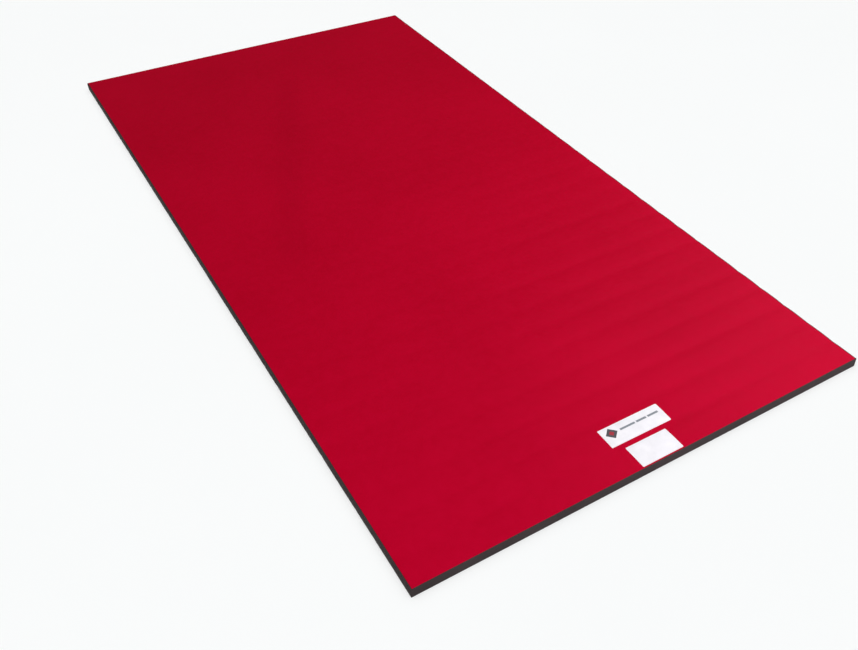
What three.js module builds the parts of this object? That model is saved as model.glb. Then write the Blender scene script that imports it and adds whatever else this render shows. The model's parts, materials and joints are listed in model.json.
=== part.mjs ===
// A roll-out gymnastics mat, lying flat. Millimetres, +Z up.
// The origin is the middle of the underside: X runs across the mat, Y along it, and Z = 0 is the floor.
// A foam core is slit across from below into strips. A thin vinyl cover on top holds the strips together
// and bends at each slit, so a strip and its stretch of cover turn as one about a line on the cover's top.
import * as THREE from "three";

// Whole mat
const MAT_LENGTH = 3048;
const MAT_WIDTH = 1524;
const MAT_THICKNESS = 31.75;

// Cover: one skin, cut a little short of the foam on every side
const COVER_THICKNESS = 1.25;
const COVER_SIDE_SETBACK = 4;
const COVER_END_SETBACK = 2;

// Slits: the strip at the label end is cut short, and the others share the rest of the length
const STRIP_COUNT = 29;
const LABEL_END_STRIP = 95;
const SLIT_WIDTH = 0.3;

// Labels, flat on the cover near the label end. Each has a width across the mat, a length along it,
// the distance of its near edge from the mat's end, and how far its middle stands off the centre line.
const LABEL_THICKNESS = 0.4;
const LARGE_LABEL = { width: 208, length: 71, fromEnd: 102.5, offset: 13 };
const SMALL_LABEL = { width: 140, length: 79, fromEnd: 5.5, offset: 9 };

const FOAM_THICKNESS = MAT_THICKNESS - COVER_THICKNESS;
const LABEL_END = -MAT_LENGTH / 2;
const FAR_END = MAT_LENGTH / 2;
const STRIP_PITCH = (MAT_LENGTH - LABEL_END_STRIP) / (STRIP_COUNT - 1);

function foamMaterial() {
  return new THREE.MeshStandardMaterial({ color: 0x3a3436, roughness: 0.95, metalness: 0 });
}

function coverMaterial() {
  return new THREE.MeshStandardMaterial({ color: 0xb40624, roughness: 0.5, metalness: 0 });
}

function labelMaterial() {
  return new THREE.MeshStandardMaterial({ color: 0xf4f2f2, roughness: 0.4, metalness: 0 });
}

// A closed block from its lowest corner to its highest, placed by its mesh's position.
function block(name, low, high, material) {
  const size = new THREE.Vector3().subVectors(high, low);
  const mesh = new THREE.Mesh(new THREE.BoxGeometry(size.x, size.y, size.z), material);
  mesh.name = name;
  mesh.position.addVectors(low, high).divideScalar(2);
  return mesh;
}

// Where the middle of the slit before a strip lies. The first strip has the mat's own end there instead.
function stripStart(index) {
  return index === 0 ? LABEL_END : LABEL_END + LABEL_END_STRIP + (index - 1) * STRIP_PITCH;
}

// The stretch along Y that a strip fills: half a slit is left free at each end that meets a neighbour.
function stripSpan(index) {
  const isFirst = index === 0;
  const isLast = index === STRIP_COUNT - 1;
  return {
    start: isFirst ? LABEL_END : stripStart(index) + SLIT_WIDTH / 2,
    end: isLast ? FAR_END : stripStart(index + 1) - SLIT_WIDTH / 2,
  };
}

function foamStrip(name, span) {
  const low = new THREE.Vector3(-MAT_WIDTH / 2, span.start, 0);
  const high = new THREE.Vector3(MAT_WIDTH / 2, span.end, FOAM_THICKNESS);
  return block(name, low, high, foamMaterial());
}

function coverPanel(name, span) {
  const sideX = MAT_WIDTH / 2 - COVER_SIDE_SETBACK;
  const start = Math.max(span.start, LABEL_END + COVER_END_SETBACK);
  const end = Math.min(span.end, FAR_END - COVER_END_SETBACK);
  const low = new THREE.Vector3(-sideX, start, FOAM_THICKNESS);
  const high = new THREE.Vector3(sideX, end, MAT_THICKNESS);
  return block(name, low, high, coverMaterial());
}

function label(name, { width, length, fromEnd, offset }) {
  const near = LABEL_END + fromEnd;
  const low = new THREE.Vector3(offset - width / 2, near, MAT_THICKNESS);
  const high = new THREE.Vector3(offset + width / 2, near + length, MAT_THICKNESS + LABEL_THICKNESS);
  return block(name, low, high, labelMaterial());
}

const mat = new THREE.Group();
for (let index = 0; index < STRIP_COUNT; index += 1) {
  const number = String(index + 1).padStart(2, "0");
  const span = stripSpan(index);
  mat.add(foamStrip(`foam_strip_${number}`, span));
  mat.add(coverPanel(`vinyl_panel_${number}`, span));
}
mat.add(label("small_label", SMALL_LABEL));
mat.add(label("large_label", LARGE_LABEL));

export default mat;
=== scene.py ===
# The looks of a roll-out gymnastics mat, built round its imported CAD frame. Metres, +Z up.
import json
import math

import bpy
import numpy as np
from mathutils import Matrix, Vector, noise

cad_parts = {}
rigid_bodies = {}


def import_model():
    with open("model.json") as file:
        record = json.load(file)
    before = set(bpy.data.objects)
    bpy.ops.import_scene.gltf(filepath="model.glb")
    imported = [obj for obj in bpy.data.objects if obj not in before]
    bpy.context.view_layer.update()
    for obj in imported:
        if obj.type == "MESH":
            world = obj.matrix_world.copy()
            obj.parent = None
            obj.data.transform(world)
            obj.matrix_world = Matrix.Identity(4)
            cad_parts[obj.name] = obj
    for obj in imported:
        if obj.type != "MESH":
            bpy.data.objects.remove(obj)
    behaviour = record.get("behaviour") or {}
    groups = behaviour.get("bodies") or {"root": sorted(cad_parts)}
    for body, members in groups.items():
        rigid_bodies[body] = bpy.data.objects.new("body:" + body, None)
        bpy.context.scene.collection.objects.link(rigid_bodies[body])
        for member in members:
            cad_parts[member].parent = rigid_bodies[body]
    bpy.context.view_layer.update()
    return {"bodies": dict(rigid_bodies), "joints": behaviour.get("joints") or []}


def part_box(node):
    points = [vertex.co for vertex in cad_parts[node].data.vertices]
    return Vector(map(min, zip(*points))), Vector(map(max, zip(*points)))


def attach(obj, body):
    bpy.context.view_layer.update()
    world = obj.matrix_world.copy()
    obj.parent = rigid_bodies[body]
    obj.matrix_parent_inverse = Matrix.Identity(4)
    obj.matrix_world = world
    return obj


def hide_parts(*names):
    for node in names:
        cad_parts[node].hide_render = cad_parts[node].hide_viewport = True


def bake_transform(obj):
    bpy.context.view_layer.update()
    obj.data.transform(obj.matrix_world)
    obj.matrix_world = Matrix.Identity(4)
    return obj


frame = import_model()

MM = 0.001

# ---- The mat's places, from the frame --------------------------------------------------------------

STRIP_COUNT = len(frame["bodies"])
HINGE_YS = sorted(joint["pos_m"][1] for joint in frame["joints"])
FOAM_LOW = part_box("foam_strip_01")[0]
FOAM_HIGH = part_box(f"foam_strip_{STRIP_COUNT:02d}")[1]
COVER_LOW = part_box("vinyl_panel_01")[0]
COVER_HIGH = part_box(f"vinyl_panel_{STRIP_COUNT:02d}")[1]

# ---- Driving dimensions of the details -------------------------------------------------------------

# Foam: each slit stops short of the cover and leaves a thin web
WEB_THICKNESS = 3.6 * MM
WEB_SIDE_SETBACK = 0.15 * MM
FOAM_EDGE_RADIUS = 0.8 * MM
SLIT_WAVE = 0.3 * MM
SLIT_WAVE_FADE = 12 * MM
SIDE_BULGE = 0.5 * MM
SIDE_UNEVENNESS = 0.35 * MM
SIDE_PULL_IN = 0.45 * MM
SIDE_PULL_REACH = 6 * MM
SIDE_FADE = 30 * MM
UNDERSIDE_UNEVENNESS = 0.3 * MM
UNDERSIDE_FADE = 10 * MM

# Cover, and how far from a hinge the grids of it and the web have close rows
COVER_EDGE_RADIUS = 0.45 * MM
BEND_REACH = 8 * MM

# Relief of the top: a shallow valley over each slit, a slow unevenness, and one soft fold. A valley's
# depth varies from its full value to a share of it, and falls to others on the left and at the far end.
VALLEY_DEPTH = 2.5 * MM
VALLEY_REACH = 23 * MM
VALLEY_LEFT_SHARE = 0.45
VALLEY_SHALLOWEST = 0.4
VALLEY_FAR_SHARE = 0.15
VALLEY_FADE = 2000 * MM
UNEVENNESS = 0.9 * MM
FOLD_START = (-0.55, -0.30)
FOLD_END = (0.05, 1.25)
FOLD_DEPTH = 1.4 * MM
FOLD_REACH = 60 * MM
FOLD_FADE = 250 * MM

# How fast each unevenness changes along X, Y and Z, in waves to a metre. Valleys and slit walls have
# the slit's number in place of Y.
VALLEY_WAVES = (2.4, 3.7, 1)
UNEVENNESS_WAVES = (1.6, 1.1, 1)
SIDE_WAVES = (1, 7, 30)
SLIT_WAVES = (9, 1, 20)
UNDERSIDE_WAVES = (8, 8, 1)
NEXT_SLIT_WAVE = 3.1

# Labels: films with a line pressed in round the border by a weld. The grid has lines of its own
# between the edge and the weld, and across the weld at shares of its width.
LABEL_EDGE_RADIUS = 0.1 * MM
LABEL_CORNER_RADIUS = 2.5 * MM
LABEL_BORDER_LINES = (0.8 * MM, 1.7 * MM)
WELD_INSET = 3.0 * MM
WELD_WIDTH = 1.4 * MM
WELD_DEPTH = 0.14 * MM
WELD_LINES = (0, 0.3, 0.7, 1)

# Print on the large label, with X and Y from the label's left near corner
INK_THICKNESS = 0.03 * MM
INK_SINK = 0.02 * MM
PRINT_MIDDLE = 44 * MM
DIAMOND_X = 31 * MM
DIAMOND_REACH = 20 * MM
DIAMOND_MIDDLE_REACH = 9 * MM
BAR_HEIGHT = 7 * MM
BAR_SPANS = ((60 * MM, 112 * MM), (117 * MM, 152 * MM), (157 * MM, 194 * MM))

# Meshes: how far apart grid lines are at most and at least, and how far they keep from an edge's own
STEP_ACROSS = 24 * MM
STEP_ALONG = 9 * MM
STEP_DOWN = 6 * MM
BEND_STEP = 1.6 * MM
LABEL_STEP = 6 * MM
PRINT_STEP_SHARE = 0.05
CLOSEST_STEP = 0.05 * MM
EDGE_MARGIN = 2 * MM
LABEL_MARGIN = 8 * MM
SHARP_ANGLE = math.radians(40)

# Grid lines of a rounded edge: their angles round it from the face's normal, and, in radii, how far in
# the line past it lies
ROUNDING_ANGLES = (45, 22.5, 0)
PAST_ROUNDING = 1.5

# Numbers too small to matter: a part of a step, and a length in metres
ROUND_OFF = 1e-6
NO_LENGTH = 1e-12

# Camera: it looks at a point on the floor from an azimuth, an elevation and a distance
CAMERA_TARGET = Vector((-0.0179, -0.8198, 0))
CAMERA_AZIMUTH = math.radians(-33.733)
CAMERA_ELEVATION = math.radians(40.583)
CAMERA_DISTANCE = 2.9303
CAMERA_ROLL = math.radians(1.44)
CAMERA_SENSOR_MM = 36
CAMERA_LENS_MM = 38.63
CAMERA_SHIFT = -0.1

# Colours, as linear light
VINYL_DARK = (0.312, 0.0002, 0.0090)
VINYL_LIGHT = (0.348, 0.0004, 0.0115)
VINYL_PALE = (0.378, 0.0012, 0.0160)
# Painted shade: the darker red laid along the soft fold and into the grain's crevices
VINYL_PAINTED_SHADE = (0.245, 0.0001, 0.0070)
FOAM_DARK = (0.0250, 0.0180, 0.0172)
FOAM_LIGHT = (0.0350, 0.0250, 0.0240)
FOAM_PALE = (0.0570, 0.0450, 0.0430)
# Painted shade laid into the open cells of the foam's cut faces
FOAM_PORE_SHADE = (0.0100, 0.0075, 0.0072)
FOAM_SCUFFED = (0.0900, 0.0790, 0.0740)
LABEL_WHITE = (0.605, 0.602, 0.588)
# The greyer white of the film's clouds, and also the painted shade between the weave's threads
LABEL_SHADE = (0.532, 0.530, 0.520)
INK_DARK = (0.030, 0.028, 0.031)
INK_LIGHT = (0.070, 0.066, 0.072)
SLATE_INK_DARK = (0.115, 0.130, 0.135)
SLATE_INK_LIGHT = (0.190, 0.210, 0.216)
RED_INK_DARK = (0.200, 0.008, 0.016)
RED_INK_LIGHT = (0.270, 0.016, 0.026)
FLOOR_WHITE = (0.945, 0.955, 0.955)
FLOOR_SHADE = (0.925, 0.935, 0.935)
SKY = (0.93, 0.94, 0.94)

# Surfaces: gloss, depth of the grain, and where the foam's skin ends and its cut face begins
VINYL_SPECULAR = 0.10
VINYL_SPECULAR_TINT = (1.0, 0.01, 0.75, 1)
VINYL_GRAIN_DEPTH = 0.13 * MM
# How strongly the vinyl is darkened along the fold: painted shade
FOLD_PAINTED_SHADE = 0.20
FOAM_SPECULAR = 0.2
FOAM_CELL_DEPTH = 0.25 * MM
SKIN_LOW = 0.6 * MM
SKIN_HIGH = 1.4 * MM
SCUFFED_EDGE = 5 * MM
LABEL_SPECULAR = 0.3
LABEL_WEAVE_DEPTH = 0.05 * MM
FLOOR_SPECULAR = 0.1
FLOOR_ROUGHNESS = 0.8

# Patterns: how many clouds, cells or threads each has to a metre
VINYL_CLOUDS = 1.7
VINYL_MOTTLE = 45
VINYL_PEBBLES = 900
VINYL_FINE_GRAIN = 2600
FOAM_CLOUDS = 9
FOAM_SPECKLE = 420
FOAM_CELLS = 620
SCUFF_PATCHES = 5
SCUFF_STREAKS = 26
LABEL_CLOUDS = 30
LABEL_THREADS = 560.0
INK_SPECKLE = 900
FLOOR_CLOUDS = 0.8
CLOUD_ROUGHNESS = 0.55

# Sky: how bright it looks, and how strongly it lights the scene from low and from high directions
SKY_SEEN = 1.015
SKY_LOW = 0.45
SKY_HIGH = 0.9
SKY_LOW_LIGHT = 0.03
SKY_HIGH_LIGHT = 0.60

# Lights
SUN_STRENGTH = 1.95
FLOOR_SUN_STRENGTH = 0.5
SUN_SOFTNESS = math.radians(50)
SUN_TURN = (math.radians(24), 0, math.radians(-40))
SOFTBOX_PLACE = Vector((2.8, -0.3, 2.6))
SOFTBOX_AIM = Vector((0.5, -1.2, 0))
SOFTBOX_SIZE = 2.2
SOFTBOX_POWER = 49
SOFTBOX_COLOUR = (1.0, 0.97, 1.06)
FRONT_LIGHT_PLACE = Vector((1.1, -3.1, 2.0))
FRONT_LIGHT_AIM = Vector((0.3, -1.1, 0))
FRONT_LIGHT_SIZE = 2.4
FRONT_LIGHT_POWER = 84
FRONT_LIGHT_COLOUR = (1.0, 0.96, 1.14)

# Floor
FLOOR_REACH = 400
FLOOR_GAP = 0.2 * MM


def make_camera():
    """The scene's camera, which looks down on the mat from off its label end's left corner."""
    back = Vector((
        math.sin(CAMERA_AZIMUTH) * math.cos(CAMERA_ELEVATION),
        -math.cos(CAMERA_AZIMUTH) * math.cos(CAMERA_ELEVATION),
        math.sin(CAMERA_ELEVATION),
    ))
    right = (-back).cross(Vector((0, 0, 1))).normalized()
    up = right.cross(-back)
    rolled_right = right * math.cos(CAMERA_ROLL) + up * math.sin(CAMERA_ROLL)
    rolled_up = up * math.cos(CAMERA_ROLL) - right * math.sin(CAMERA_ROLL)
    turn = Matrix((rolled_right, rolled_up, back)).transposed()
    data = bpy.data.cameras.new("camera")
    data.sensor_width = CAMERA_SENSOR_MM
    data.lens = CAMERA_LENS_MM
    data.shift_x = CAMERA_SHIFT
    data.clip_end = 2 * FLOOR_REACH
    camera = bpy.data.objects.new("camera", data)
    camera.matrix_world = Matrix.Translation(CAMERA_TARGET + back * CAMERA_DISTANCE) @ turn.to_4x4()
    bpy.context.scene.collection.objects.link(camera)
    bpy.context.scene.camera = camera


# ---- Grids and meshes ------------------------------------------------------------------------------


def spread(start, end, step):
    """Evenly spaced values from start to end, no further apart than step."""
    return np.linspace(start, end, max(1, math.ceil((end - start) / step - ROUND_OFF)) + 1)


def rounding(edge, radius, inwards):
    """Grid lines that follow a rounded edge in even turns, and one past it that keeps the face flat."""
    turns = 1 - np.tan(np.radians(ROUNDING_ANGLES))
    return edge + inwards * radius * np.append(turns, PAST_ROUNDING)


def merged(*groups):
    """All values of the groups in rising order, without those that nearly repeat the one before."""
    values = np.sort(np.concatenate(groups))
    apart = np.append(True, np.diff(values) > CLOSEST_STEP)
    return values[apart]


def lines_across(low_x, high_x, radius):
    """Grid lines across the mat, with both long edges rounded."""
    return merged(
        rounding(low_x, radius, 1),
        spread(low_x + EDGE_MARGIN, high_x - EDGE_MARGIN, STEP_ACROSS),
        rounding(high_x, radius, -1),
    )


def rounded(points, low, high, radius):
    """The points of a box, moved onto the same box with rounded edges."""
    inner = np.clip(points, np.array(low) + radius, np.array(high) - radius)
    away = points - inner
    length = np.linalg.norm(away, axis=1)
    return inner + away * np.minimum(1, radius / np.maximum(length, NO_LENGTH))[:, None]


def smooth(value):
    """0 below 0, 1 above 1, and a smooth rise between them."""
    held = np.clip(value, 0, 1)
    return held * held * (3 - 2 * held)


def noise_at(points, waves):
    """Smooth noise of about -1 to 1 at each point, with so many waves to a metre along each axis."""
    return np.array([noise.noise(Vector(point * waves)) for point in points])


def grid_box(name, xs, ys, zs, shape):
    """A closed piece over the surface of a grid of lines, whose points go where shape puts them."""
    index = np.arange(len(xs) * len(ys) * len(zs)).reshape(len(xs), len(ys), len(zs))
    quads = []
    for axis in range(3):
        for end in (0, -1):
            side = np.take(index, end, axis)
            loop = [side[:-1, :-1], side[1:, :-1], side[1:, 1:], side[:-1, 1:]]
            if (end == 0) != (axis == 1):
                loop.reverse()
            quads.append(np.stack(loop, axis=-1).reshape(-1, 4))
    used, faces = np.unique(np.concatenate(quads), return_inverse=True)
    lattice = np.stack(np.meshgrid(xs, ys, zs, indexing="ij"), axis=-1).reshape(-1, 3)
    return mesh_object(name, shape(lattice[used]), faces.reshape(-1, 4))


def mesh_object(name, points, faces):
    """A mesh that keeps its rest places, so that its pattern bends with it, and its share of the fold, which
    sets the painted shade along the fold.
    """
    mesh = bpy.data.meshes.new(name)
    mesh.from_pydata(points.tolist(), [], faces.tolist())
    rest = mesh.attributes.new("rest", "FLOAT_VECTOR", "POINT")
    rest.data.foreach_set("vector", points.astype(np.float32).ravel())
    folded = mesh.attributes.new("folded", "FLOAT", "POINT")
    folded.data.foreach_set("value", fold(points).astype(np.float32))
    mesh.shade_smooth()
    mesh.set_sharp_from_angle(angle=SHARP_ANGLE)
    piece = bpy.data.objects.new(name, mesh)
    bpy.context.scene.collection.objects.link(piece)
    return piece


# ---- Shapes of the foam and the cover --------------------------------------------------------------


def fold(points):
    """How much of the one soft fold, slantwise along the mat's left side, is at each point: 0 to 1."""
    start, end = np.array(FOLD_START), np.array(FOLD_END)
    length = np.linalg.norm(end - start)
    along = (end - start) / length
    from_start = points[:, :2] - start
    run = from_start @ along
    aside = from_start @ np.array([along[1], -along[0]])
    ends = smooth(run / FOLD_FADE) * smooth((length - run) / FOLD_FADE)
    return ends * np.exp(-((aside / FOLD_REACH) ** 2))


def valley(points):
    """How deep the valley over the nearest slit is: most on the right and towards the label end."""
    gap = points[:, 1][:, None] - np.array(HINGE_YS)
    nearest = np.abs(gap).argmin(axis=1)
    along_slit = np.stack([points[:, 0], nearest, np.zeros(len(points))], axis=1)
    strength = smooth(0.5 + noise_at(along_slit, VALLEY_WAVES))
    depth = VALLEY_DEPTH * (VALLEY_SHALLOWEST + (1 - VALLEY_SHALLOWEST) * strength)
    depth *= 1 - (1 - VALLEY_FAR_SHARE) * smooth((points[:, 1] - HINGE_YS[0]) / VALLEY_FADE)
    depth *= 1 - (1 - VALLEY_LEFT_SHARE) * smooth(0.5 - points[:, 0] / COVER_HIGH.x)
    return depth * np.exp(-((np.abs(gap).min(axis=1) / VALLEY_REACH) ** 2))


def relief(points):
    """How far the cover's top stands above its flat level at each point."""
    unevenness = UNEVENNESS * noise_at(points * (1, 1, 0), UNEVENNESS_WAVES)
    return unevenness - valley(points) - FOLD_DEPTH * fold(points)


def side_offset(points):
    """How far the foam's long sides stand out: a slight bulge, pulled in at each slit."""
    height = points[:, 2] / FOAM_HIGH.z
    bulge = SIDE_BULGE * (1 - (2 * height - 1) ** 2)
    gap = np.abs(points[:, 1][:, None] - np.array(HINGE_YS)).min(axis=1)
    pulled = SIDE_PULL_IN * np.exp(-((gap / SIDE_PULL_REACH) ** 2))
    uneven = SIDE_UNEVENNESS * noise_at(points, SIDE_WAVES)
    reach = smooth((np.abs(points[:, 0]) - (FOAM_HIGH.x - SIDE_FADE)) / SIDE_FADE)
    return np.sign(points[:, 0]) * reach * (bulge + uneven - pulled)


def slit_offset(points, slit):
    """How far a slit's knife-cut wall wanders along the mat."""
    wave = np.full(len(points), slit * NEXT_SLIT_WAVE)
    along_slit = np.stack([points[:, 0], wave, points[:, 2]], axis=1)
    reach = smooth(1 - np.abs(points[:, 1] - HINGE_YS[slit]) / SLIT_WAVE_FADE)
    return SLIT_WAVE * reach * noise_at(along_slit, SLIT_WAVES)


def underside_lift(points):
    """How far the foam's uneven underside is lifted off the floor."""
    reach = smooth(1 - points[:, 2] / UNDERSIDE_FADE)
    uneven = 0.5 + 0.5 * noise_at(points * (1, 1, 0), UNDERSIDE_WAVES)
    return reach * UNDERSIDE_UNEVENNESS * uneven


# ---- Pieces of the mat -----------------------------------------------------------------------------


def foam_block(number):
    """One strip of the foam, from the mat's underside up to the web."""
    low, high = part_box(f"foam_strip_{number:02d}")
    xs = lines_across(low.x, high.x, FOAM_EDGE_RADIUS)
    ys = merged(
        rounding(low.y, FOAM_EDGE_RADIUS, 1),
        spread(low.y + EDGE_MARGIN, high.y - EDGE_MARGIN, STEP_ALONG),
        rounding(high.y, FOAM_EDGE_RADIUS, -1),
    )
    zs = merged(
        rounding(low.z, FOAM_EDGE_RADIUS, 1),
        spread(low.z + EDGE_MARGIN, high.z - WEB_THICKNESS, STEP_DOWN),
    )

    def shape(points):
        placed = rounded(points, low, high, FOAM_EDGE_RADIUS)
        placed[:, 0] += side_offset(points)
        placed[:, 2] += underside_lift(points)
        slit_before, slit_after = number - 2, number - 1
        for slit in (slit_before, slit_after):
            if 0 <= slit < len(HINGE_YS):
                placed[:, 1] += slit_offset(points, slit)
        return placed

    block = grid_box(f"foam_block_{number:02d}", xs, ys, zs, shape)
    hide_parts(f"foam_strip_{number:02d}")
    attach(block, f"strip_{number:02d}")
    return block


def bending_rows(number, low_y, high_y):
    """(start, end, grid lines) along the mat of the piece that lies over a hinge.

    The pieces meet halfway between hinges, and the first and last reach the mat's ends."""
    hinge = HINGE_YS[number - 1]
    is_first = number == 1
    is_last = number == len(HINGE_YS)
    start = low_y if is_first else (hinge + HINGE_YS[number - 2]) / 2
    end = high_y if is_last else (hinge + HINGE_YS[number]) / 2
    rows = merged(
        rounding(low_y, COVER_EDGE_RADIUS, 1) if is_first else [start],
        spread(start + EDGE_MARGIN, hinge - BEND_REACH - EDGE_MARGIN, STEP_ALONG),
        spread(hinge - BEND_REACH, hinge + BEND_REACH, BEND_STEP),
        spread(hinge + BEND_REACH + EDGE_MARGIN, end - EDGE_MARGIN, STEP_ALONG),
        rounding(high_y, COVER_EDGE_RADIUS, -1) if is_last else [end],
    )
    return start, end, rows


def bend_over_slit(piece):
    """Bakes the piece's transform into its mesh; the piece stays at rest."""
    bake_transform(piece)


def foam_web(number):
    """The thin layer of foam that a slit leaves uncut under the cover."""
    low_x = FOAM_LOW.x + WEB_SIDE_SETBACK
    high_x = FOAM_HIGH.x - WEB_SIDE_SETBACK
    bottom = FOAM_HIGH.z - WEB_THICKNESS
    top = FOAM_HIGH.z
    xs = lines_across(low_x, high_x, FOAM_EDGE_RADIUS)
    _, _, ys = bending_rows(number, FOAM_LOW.y, FOAM_HIGH.y)
    zs = merged([bottom], rounding(top, FOAM_EDGE_RADIUS, -1))

    def shape(points):
        low = (low_x, FOAM_LOW.y, 0)
        high = (high_x, FOAM_HIGH.y, top)
        placed = rounded(points, low, high, FOAM_EDGE_RADIUS)
        placed[:, 0] += side_offset(points)
        placed[:, 2] += relief(points) * (points[:, 2] - bottom) / WEB_THICKNESS
        return placed

    web = grid_box(f"foam_web_{number:02d}", xs, ys, zs, shape)
    bend_over_slit(web)
    return web


def cover_piece(number):
    """The length of the vinyl cover that lies over one slit."""
    xs = lines_across(COVER_LOW.x, COVER_HIGH.x, COVER_EDGE_RADIUS)
    start, end, ys = bending_rows(number, COVER_LOW.y, COVER_HIGH.y)
    zs = merged(
        rounding(COVER_LOW.z, COVER_EDGE_RADIUS, 1)[:-1],
        rounding(COVER_HIGH.z, COVER_EDGE_RADIUS, -1)[:-1],
    )

    def shape(points):
        placed = rounded(points, COVER_LOW, COVER_HIGH, COVER_EDGE_RADIUS)
        placed[:, 2] += relief(points)
        return placed

    cover = grid_box(f"cover_{number:02d}", xs, ys, zs, shape)
    panels = [number] if number < len(HINGE_YS) else [number, number + 1]
    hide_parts(*[f"vinyl_panel_{panel:02d}" for panel in panels])
    bend_over_slit(cover)
    return cover


def round_corners(places, low, high, radius):
    """The X and Y of a rectangle's points, drawn in at its corners to round them."""
    centre = (low + high) / 2
    half = (high - low) / 2
    across = places - centre
    inner = np.clip(across, -half + radius, half - radius)
    away = across - inner
    square = np.abs(away).max(axis=1)
    length = np.maximum(np.linalg.norm(away, axis=1), NO_LENGTH)
    return centre + inner + away * (square / length)[:, None]


def weld_line(places, low, high):
    """How far each point of a label is pressed in by the weld round its border: 0 to 1."""
    border = np.minimum(places - low, high - places).min(axis=1)
    return 1 - smooth(np.abs(border - WELD_INSET - WELD_WIDTH / 2) / (WELD_WIDTH / 2))


def label_film(node_name, body):
    """A thin film label with rounded corners and a line pressed in by the weld round its border."""
    low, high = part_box(node_name)
    flat_low, flat_high = np.array(low[:2]), np.array(high[:2])
    weld = np.array(WELD_LINES) * WELD_WIDTH + WELD_INSET
    inset = np.concatenate([rounding(0, LABEL_EDGE_RADIUS, 1), LABEL_BORDER_LINES, weld])
    xs, ys = (
        merged(start + inset, spread(start + LABEL_MARGIN, end - LABEL_MARGIN, LABEL_STEP), end - inset)
        for start, end in zip(low[:2], high[:2])
    )
    zs = merged([low.z], rounding(high.z, LABEL_EDGE_RADIUS, -1)[:-1])

    def shape(points):
        placed = rounded(points, (low.x, low.y, 0), high, LABEL_EDGE_RADIUS)
        placed[:, :2] = round_corners(placed[:, :2], flat_low, flat_high, LABEL_CORNER_RADIUS)
        on_top = points[:, 2] > (high.z + low.z) / 2
        pressed = WELD_DEPTH * weld_line(points[:, :2], flat_low, flat_high) * on_top
        placed[:, 2] += relief(points) - pressed
        return placed

    film = grid_box(f"{node_name}_film", xs, ys, zs, shape)
    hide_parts(node_name)
    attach(film, body)
    return film


def print_shape(name, corners, thickness):
    """A four-cornered shape printed on the large label, with its corners from the label's own."""
    low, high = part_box("large_label")
    first, second, third, fourth = (np.array(corner) + (low.x, low.y) for corner in corners)
    steps = spread(0, 1, PRINT_STEP_SHARE)

    def shape(points):
        along, up = points[:, 0][:, None], points[:, 1][:, None]
        near = first * (1 - along) + second * along
        far = fourth * (1 - along) + third * along
        flat = near * (1 - up) + far * up
        placed = np.column_stack([flat, points[:, 2]])
        placed[:, 2] += high.z + relief(placed)
        return placed

    ink = grid_box(f"large_label_{name}", steps, steps, np.array([-INK_SINK, thickness]), shape)
    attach(ink, "strip_02")
    return ink


def bar_corners(start, end):
    """The corners of a rectangle along the label, from one X to another."""
    low = PRINT_MIDDLE - BAR_HEIGHT / 2
    high = PRINT_MIDDLE + BAR_HEIGHT / 2
    return [(start, low), (end, low), (end, high), (start, high)]


def diamond_corners(reach):
    """The corners of a square that stands on one corner."""
    x, y = DIAMOND_X, PRINT_MIDDLE
    return [(x, y - reach), (x + reach, y), (x, y + reach), (x - reach, y)]


# ---- Tools for materials ---------------------------------------------------------------------------

# The Mix node has sockets for numbers, vectors and colours. These are the ones for colours.
MIX_FIRST_COLOUR = 6
MIX_SECOND_COLOUR = 7
MIX_COLOUR_RESULT = 2


def new_material(name, **inputs):
    """A material of one Principled shader, and that shader. The inputs are uniform values."""
    material = bpy.data.materials.new(name)
    material.use_nodes = True
    tree = material.node_tree
    tree.nodes.clear()
    output = tree.nodes.new("ShaderNodeOutputMaterial")
    shader = tree.nodes.new("ShaderNodeBsdfPrincipled")
    tree.links.new(shader.outputs["BSDF"], output.inputs["Surface"])
    for socket, value in inputs.items():
        shader.inputs[socket.replace("_", " ")].default_value = value
    return material, shader


def node(owner, kind, inputs=(), **settings):
    """A node of a material or a world. An input is a value, or another node's output to link."""
    made = owner.node_tree.nodes.new(kind)
    for name, value in settings.items():
        setattr(made, name, value)
    for socket, value in dict(inputs).items():
        if isinstance(value, bpy.types.NodeSocket):
            owner.node_tree.links.new(value, made.inputs[socket])
        else:
            made.inputs[socket].default_value = value
    return made


def rest_place(material):
    """Where a point of the mat lies when it is flat, in metres."""
    return node(material, "ShaderNodeAttribute", attribute_name="rest").outputs["Vector"]


def clouds(material, place, scale, detail=3.0, stretch=(1, 1, 1)):
    """Noise of 0 to 1, with scale clouds to a metre."""
    mapped = node(material, "ShaderNodeMapping", {"Vector": place, "Scale": stretch})
    inputs = {"Vector": mapped.outputs[0], "Scale": scale, "Detail": detail, "Roughness": CLOUD_ROUGHNESS}
    return node(material, "ShaderNodeTexNoise", inputs).outputs["Fac"]


def cells(material, place, scale, feature="F1"):
    """The distance from each point to its cell's middle or edge, with scale cells to a metre."""
    inputs = {"Vector": place, "Scale": scale}
    made = node(material, "ShaderNodeTexVoronoi", inputs, feature=feature)
    return made.outputs["Distance"]


def threads(material, place, direction):
    """Ridges of 0 to 1 across the X or the Y direction."""
    inputs = {"Vector": place, "Scale": LABEL_THREADS}
    made = node(material, "ShaderNodeTexWave", inputs, wave_type="BANDS", bands_direction=direction)
    return made.outputs["Fac"]


def ranged(material, value, low=0.3, high=0.7, to_low=0, to_high=1):
    """The value's range from low to high, moved to the range from to_low to to_high.

    Unless they are given, low and high are the range that most of a cloud pattern lies in."""
    inputs = {"Value": value, "From Min": low, "From Max": high, "To Min": to_low, "To Max": to_high}
    return node(material, "ShaderNodeMapRange", inputs).outputs["Result"]


def maths(material, operation, first, second):
    """The result of a sum, a product and the like of two values."""
    made = node(material, "ShaderNodeMath", {0: first, 1: second}, operation=operation)
    return made.outputs["Value"]


def added(material, first, second):
    """The sum of two values."""
    return maths(material, "ADD", first, second)


def times(material, first, second):
    """The product of two values."""
    return maths(material, "MULTIPLY", first, second)


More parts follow.
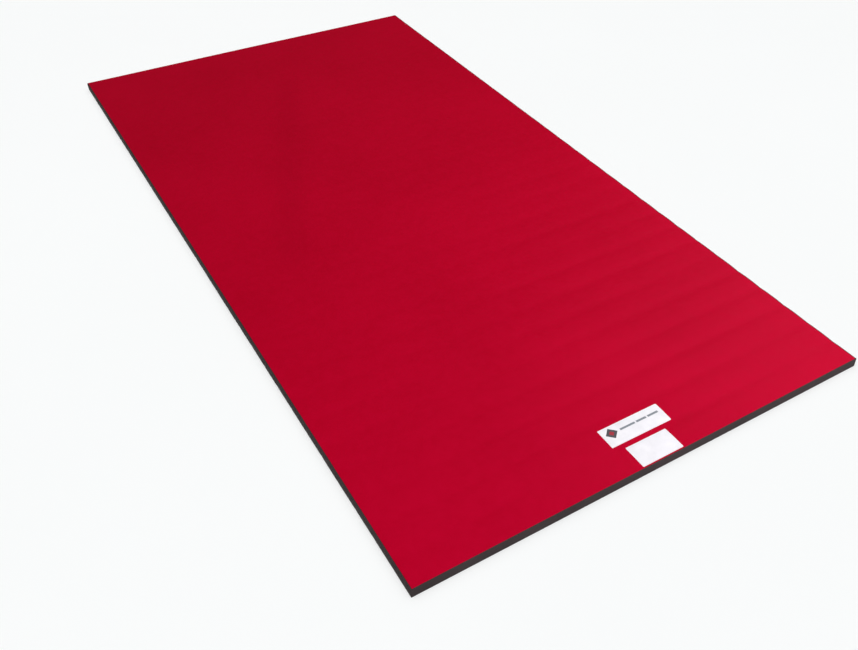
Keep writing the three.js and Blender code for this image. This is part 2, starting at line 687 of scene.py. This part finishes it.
def mixed(material, share, first, second):
    """A colour between two."""
    made = node(material, "ShaderNodeMix", {"Factor": share}, data_type="RGBA")
    for socket, colour in ((MIX_FIRST_COLOUR, first), (MIX_SECOND_COLOUR, second)):
        if isinstance(colour, bpy.types.NodeSocket):
            material.node_tree.links.new(colour, made.inputs[socket])
        else:
            made.inputs[socket].default_value = (*colour, 1)
    return made.outputs[MIX_COLOUR_RESULT]


def feed(material, shader, socket, value):
    """Lets a pattern set one of the shader's inputs."""
    material.node_tree.links.new(value, shader.inputs[socket])


def bumped(material, shader, height, depth):
    """Raises the surface by up to depth metres where the height is 1."""
    inputs = {"Height": height, "Distance": depth, "Strength": 1.0}
    feed(material, shader, "Normal", node(material, "ShaderNodeBump", inputs).outputs["Normal"])


# ---- Materials -------------------------------------------------------------------------------------


def vinyl_material():
    """Red vinyl with a fine embossed grain and a soft sheen, and painted shade along the fold and in the
    grain's crevices.
    """
    material, shader = new_material(
        "red_vinyl", Specular_IOR_Level=VINYL_SPECULAR, Specular_Tint=VINYL_SPECULAR_TINT
    )
    place = rest_place(material)
    cloud = clouds(material, place, VINYL_CLOUDS)
    mottle = clouds(material, place, VINYL_MOTTLE, detail=4)
    grain = cells(material, place, VINYL_PEBBLES, feature="DISTANCE_TO_EDGE")
    pebbles = ranged(material, grain, 0.0, 0.22, 0.0, 1.0)
    fine = clouds(material, place, VINYL_FINE_GRAIN, detail=2)
    folded = node(material, "ShaderNodeAttribute", attribute_name="folded").outputs["Fac"]

    broad = mixed(material, ranged(material, cloud), VINYL_DARK, VINYL_LIGHT)
    worn = mixed(material, ranged(material, mottle, 0.35, 0.75, 0, 0.35), broad, VINYL_PALE)
    # Painted shade along the soft fold
    fold_shaded = mixed(material, ranged(material, folded, 0, 1, 0, FOLD_PAINTED_SHADE), worn, VINYL_PAINTED_SHADE)
    # Painted shade: the grain's crevices are darkened
    crevices_shaded = mixed(material, ranged(material, pebbles, 0, 0.6, 0.3, 0), fold_shaded, VINYL_PAINTED_SHADE)
    feed(material, shader, "Base Color", crevices_shaded)

    mottled_gloss = ranged(material, mottle, to_low=0.42, to_high=0.52)
    rough = added(material, mottled_gloss, ranged(material, pebbles, 0, 1, 0.08, 0))
    feed(material, shader, "Roughness", rough)
    height = added(material, pebbles, times(material, fine, 0.25))
    bumped(material, shader, height, VINYL_GRAIN_DEPTH)
    return material


def foam_scuffs(material, place, axes, speckle):
    """How scuffed the foam is: in patches and streaks underneath, and most along the slits' lips.

    The slits are evenly spaced, and the far end lies where the next one would."""
    from_first = maths(material, "SUBTRACT", axes["Y"], HINGE_YS[0])
    slit_pitch = (HINGE_YS[-1] - HINGE_YS[0]) / (len(HINGE_YS) - 1)
    gap = maths(material, "PINGPONG", from_first, slit_pitch / 2)
    patch = clouds(material, place, SCUFF_PATCHES, detail=6, stretch=(0.5, 2, 1))
    streak = clouds(material, place, SCUFF_STREAKS, detail=5, stretch=(0.12, 2, 1))

    lips = ranged(material, gap, 0, SCUFFED_EDGE, 0.9, 0)
    patches = ranged(material, patch, 0.48, 0.78, 0, 0.7)
    streaks = ranged(material, streak, 0.55, 0.8, 0, 0.5)
    worn = added(material, added(material, lips, patches), streaks)
    broken = times(material, worn, ranged(material, speckle, 0.3, 0.65, 0.35, 1))
    underneath = ranged(material, axes["Z"], SKIN_LOW, SKIN_HIGH, 0.7, 0)
    return times(material, broken, underneath)


def foam_material():
    """Charcoal closed-cell foam: open cells where it is cut, with painted shade in them, and a fine skin,
    scuffed by use, underneath.
    """
    material, shader = new_material("charcoal_foam", Specular_IOR_Level=FOAM_SPECULAR)
    place = rest_place(material)
    axes = node(material, "ShaderNodeSeparateXYZ", {"Vector": place}).outputs
    cut = ranged(material, axes["Z"], SKIN_LOW, SKIN_HIGH, 0, 1)
    cloud = clouds(material, place, FOAM_CLOUDS)
    speckle = clouds(material, place, FOAM_SPECKLE, detail=3)
    pores = ranged(material, cells(material, place, FOAM_CELLS), 0.05, 0.6, 0, 1)

    broad = mixed(material, ranged(material, cloud), FOAM_DARK, FOAM_LIGHT)
    speckled = mixed(material, ranged(material, speckle, 0.5, 0.75, 0, 0.5), broad, FOAM_PALE)
    # Painted shade: the open cells of the cut faces are darkened
    pores_shaded = times(material, ranged(material, pores, 0, 0.5, 0.6, 0), cut)
    fresh = mixed(material, pores_shaded, speckled, FOAM_PORE_SHADE)
    scuffed = mixed(material, foam_scuffs(material, place, axes, speckle), fresh, FOAM_SCUFFED)
    feed(material, shader, "Base Color", scuffed)

    speckled_gloss = ranged(material, speckle, to_low=0.6, to_high=0.72)
    rough = added(material, speckled_gloss, times(material, cut, 0.2))
    feed(material, shader, "Roughness", rough)
    openness = added(material, times(material, cut, 0.7), 0.3)
    open_cells = times(material, pores, openness)
    height = added(material, open_cells, times(material, speckle, 0.4))
    bumped(material, shader, height, FOAM_CELL_DEPTH)
    return material


def film_material():
    """White satin label film with a fine weave, with painted shade between its threads."""
    material, shader = new_material("white_label", Specular_IOR_Level=LABEL_SPECULAR)
    place = rest_place(material)
    weave = times(material, threads(material, place, "X"), threads(material, place, "Y"))
    cloud = clouds(material, place, LABEL_CLOUDS)
    broad = mixed(material, ranged(material, cloud), LABEL_SHADE, LABEL_WHITE)
    # Painted shade: the film is darkened between the threads of the weave
    weave_shaded = mixed(material, ranged(material, weave, 0, 1, 0.25, 0), broad, LABEL_SHADE)
    feed(material, shader, "Base Color", weave_shaded)
    feed(material, shader, "Roughness", ranged(material, cloud, to_low=0.42, to_high=0.5))
    bumped(material, shader, weave, LABEL_WEAVE_DEPTH)
    return material


def ink_material(name, dark, light):
    """Printing ink that is a little uneven."""
    material, shader = new_material(name, Specular_IOR_Level=LABEL_SPECULAR)
    speckle = clouds(material, rest_place(material), INK_SPECKLE, detail=4)
    uneven = mixed(material, ranged(material, speckle, low=0.35), dark, light)
    feed(material, shader, "Base Color", uneven)
    feed(material, shader, "Roughness", ranged(material, speckle, to_low=0.4, to_high=0.55))
    return material


def floor_material():
    """A plain pale studio floor."""
    material, shader = new_material(
        "pale_floor", Specular_IOR_Level=FLOOR_SPECULAR, Roughness=FLOOR_ROUGHNESS
    )
    place = node(material, "ShaderNodeTexCoord").outputs["Object"]
    cloud = clouds(material, place, FLOOR_CLOUDS)
    feed(material, shader, "Base Color", mixed(material, cloud, FLOOR_SHADE, FLOOR_WHITE))
    return material


# ---- Studio ----------------------------------------------------------------------------------------


def make_floor():
    """A plain pale floor just under the mat."""
    mesh = bpy.data.meshes.new("floor")
    signs = ((-1, -1), (1, -1), (1, 1), (-1, 1))
    corners = [(x * FLOOR_REACH, y * FLOOR_REACH, -FLOOR_GAP) for x, y in signs]
    mesh.from_pydata(corners, [], [(0, 1, 2, 3)])
    mesh.materials.append(floor_material())
    floor = bpy.data.objects.new("floor", mesh)
    bpy.context.scene.collection.objects.link(floor)
    return floor


def make_world():
    """A sky that looks pale and even, and lights the mat only from high up."""
    world = bpy.data.worlds.new("studio")
    world.use_nodes = True
    background = world.node_tree.nodes["Background"]
    background.inputs["Color"].default_value = (*SKY, 1)
    direction = node(world, "ShaderNodeTexCoord").outputs["Generated"]
    height = node(world, "ShaderNodeSeparateXYZ", {"Vector": direction}).outputs["Z"]
    levels = {"From Min": SKY_LOW, "From Max": SKY_HIGH, "To Min": SKY_LOW_LIGHT, "To Max": SKY_HIGH_LIGHT}
    given = node(world, "ShaderNodeMapRange", {"Value": height, **levels}, interpolation_type="SMOOTHSTEP")
    is_seen = node(world, "ShaderNodeLightPath").outputs["Is Camera Ray"]
    shares = {"Factor": is_seen, "A": given.outputs["Result"], "B": SKY_SEEN}
    strength = node(world, "ShaderNodeMix", shares).outputs["Result"]
    world.node_tree.links.new(strength, background.inputs["Strength"])
    bpy.context.scene.world = world


def make_light(name, kind, power, **settings):
    """A lamp of that kind and power."""
    lamp = bpy.data.lights.new(name, kind)
    lamp.energy = power
    for setting, value in settings.items():
        setattr(lamp, setting, value)
    light = bpy.data.objects.new(name, lamp)
    bpy.context.scene.collection.objects.link(light)
    return light


def make_sun(name, strength):
    """A broad soft light from high up."""
    sun = make_light(name, "SUN", strength, angle=SUN_SOFTNESS)
    sun.rotation_euler = SUN_TURN
    return sun


def aim_light(light, place, aim):
    """Puts a light at a place and turns it to what it lights."""
    light.location = place
    light.rotation_euler = (aim - place).to_track_quat("-Z", "Y").to_euler()


def shine_only_on(light, pieces):
    """The light leaves everything dark but those pieces."""
    lit = bpy.data.collections.new(f"lit_by_{light.name}")
    for piece in pieces:
        lit.objects.link(piece)
    light.light_linking.receiver_collection = lit


def make_lights(mat, floor):
    """A soft even light from above, a softbox on the right and a light before the label end.

    The two near lights shine on the mat alone, which leaves the floor even, and the floor has a
    light of its own, which keeps it pale."""
    make_sun("overhead", SUN_STRENGTH)
    shine_only_on(make_sun("floor_light", FLOOR_SUN_STRENGTH), [floor])
    softbox = make_light("softbox", "AREA", SOFTBOX_POWER, size=SOFTBOX_SIZE, color=SOFTBOX_COLOUR)
    aim_light(softbox, SOFTBOX_PLACE, SOFTBOX_AIM)
    front = make_light(
        "front_light", "AREA", FRONT_LIGHT_POWER, size=FRONT_LIGHT_SIZE, color=FRONT_LIGHT_COLOUR
    )
    aim_light(front, FRONT_LIGHT_PLACE, FRONT_LIGHT_AIM)
    shine_only_on(softbox, mat)
    shine_only_on(front, mat)


# ---- The scene -------------------------------------------------------------------------------------


def dressed(piece, material):
    """The piece, with its material."""
    piece.data.materials.append(material)
    return piece


def make_mat():
    """Every piece of the mat, with its material."""
    foam, vinyl, film = foam_material(), vinyl_material(), film_material()
    pieces = [dressed(foam_block(number), foam) for number in range(1, STRIP_COUNT + 1)]
    for number in range(1, STRIP_COUNT):
        pieces.append(dressed(foam_web(number), foam))
        pieces.append(dressed(cover_piece(number), vinyl))
    pieces.append(dressed(label_film("small_label", "strip_01"), film))
    pieces.append(dressed(label_film("large_label", "strip_02"), film))
    return pieces + make_print()


def make_print():
    """The large label's printed marks, all plain shapes: a diamond with a red middle, and a broken bar."""
    dark = ink_material("dark_ink", INK_DARK, INK_LIGHT)
    slate = ink_material("slate_ink", SLATE_INK_DARK, SLATE_INK_LIGHT)
    red = ink_material("red_ink", RED_INK_DARK, RED_INK_LIGHT)
    outer = print_shape("diamond", diamond_corners(DIAMOND_REACH), INK_THICKNESS)
    middle = print_shape("diamond_middle", diamond_corners(DIAMOND_MIDDLE_REACH), 2 * INK_THICKNESS)
    marks = [dressed(outer, dark), dressed(middle, red)]
    for number, (start, end) in enumerate(BAR_SPANS, 1):
        bar = print_shape(f"bar_{number}", bar_corners(start, end), INK_THICKNESS)
        marks.append(dressed(bar, slate))
    return marks


make_camera()
bpy.context.scene.view_settings.view_transform = "Standard"
mat = make_mat()
floor = make_floor()
make_world()
make_lights(mat, floor)
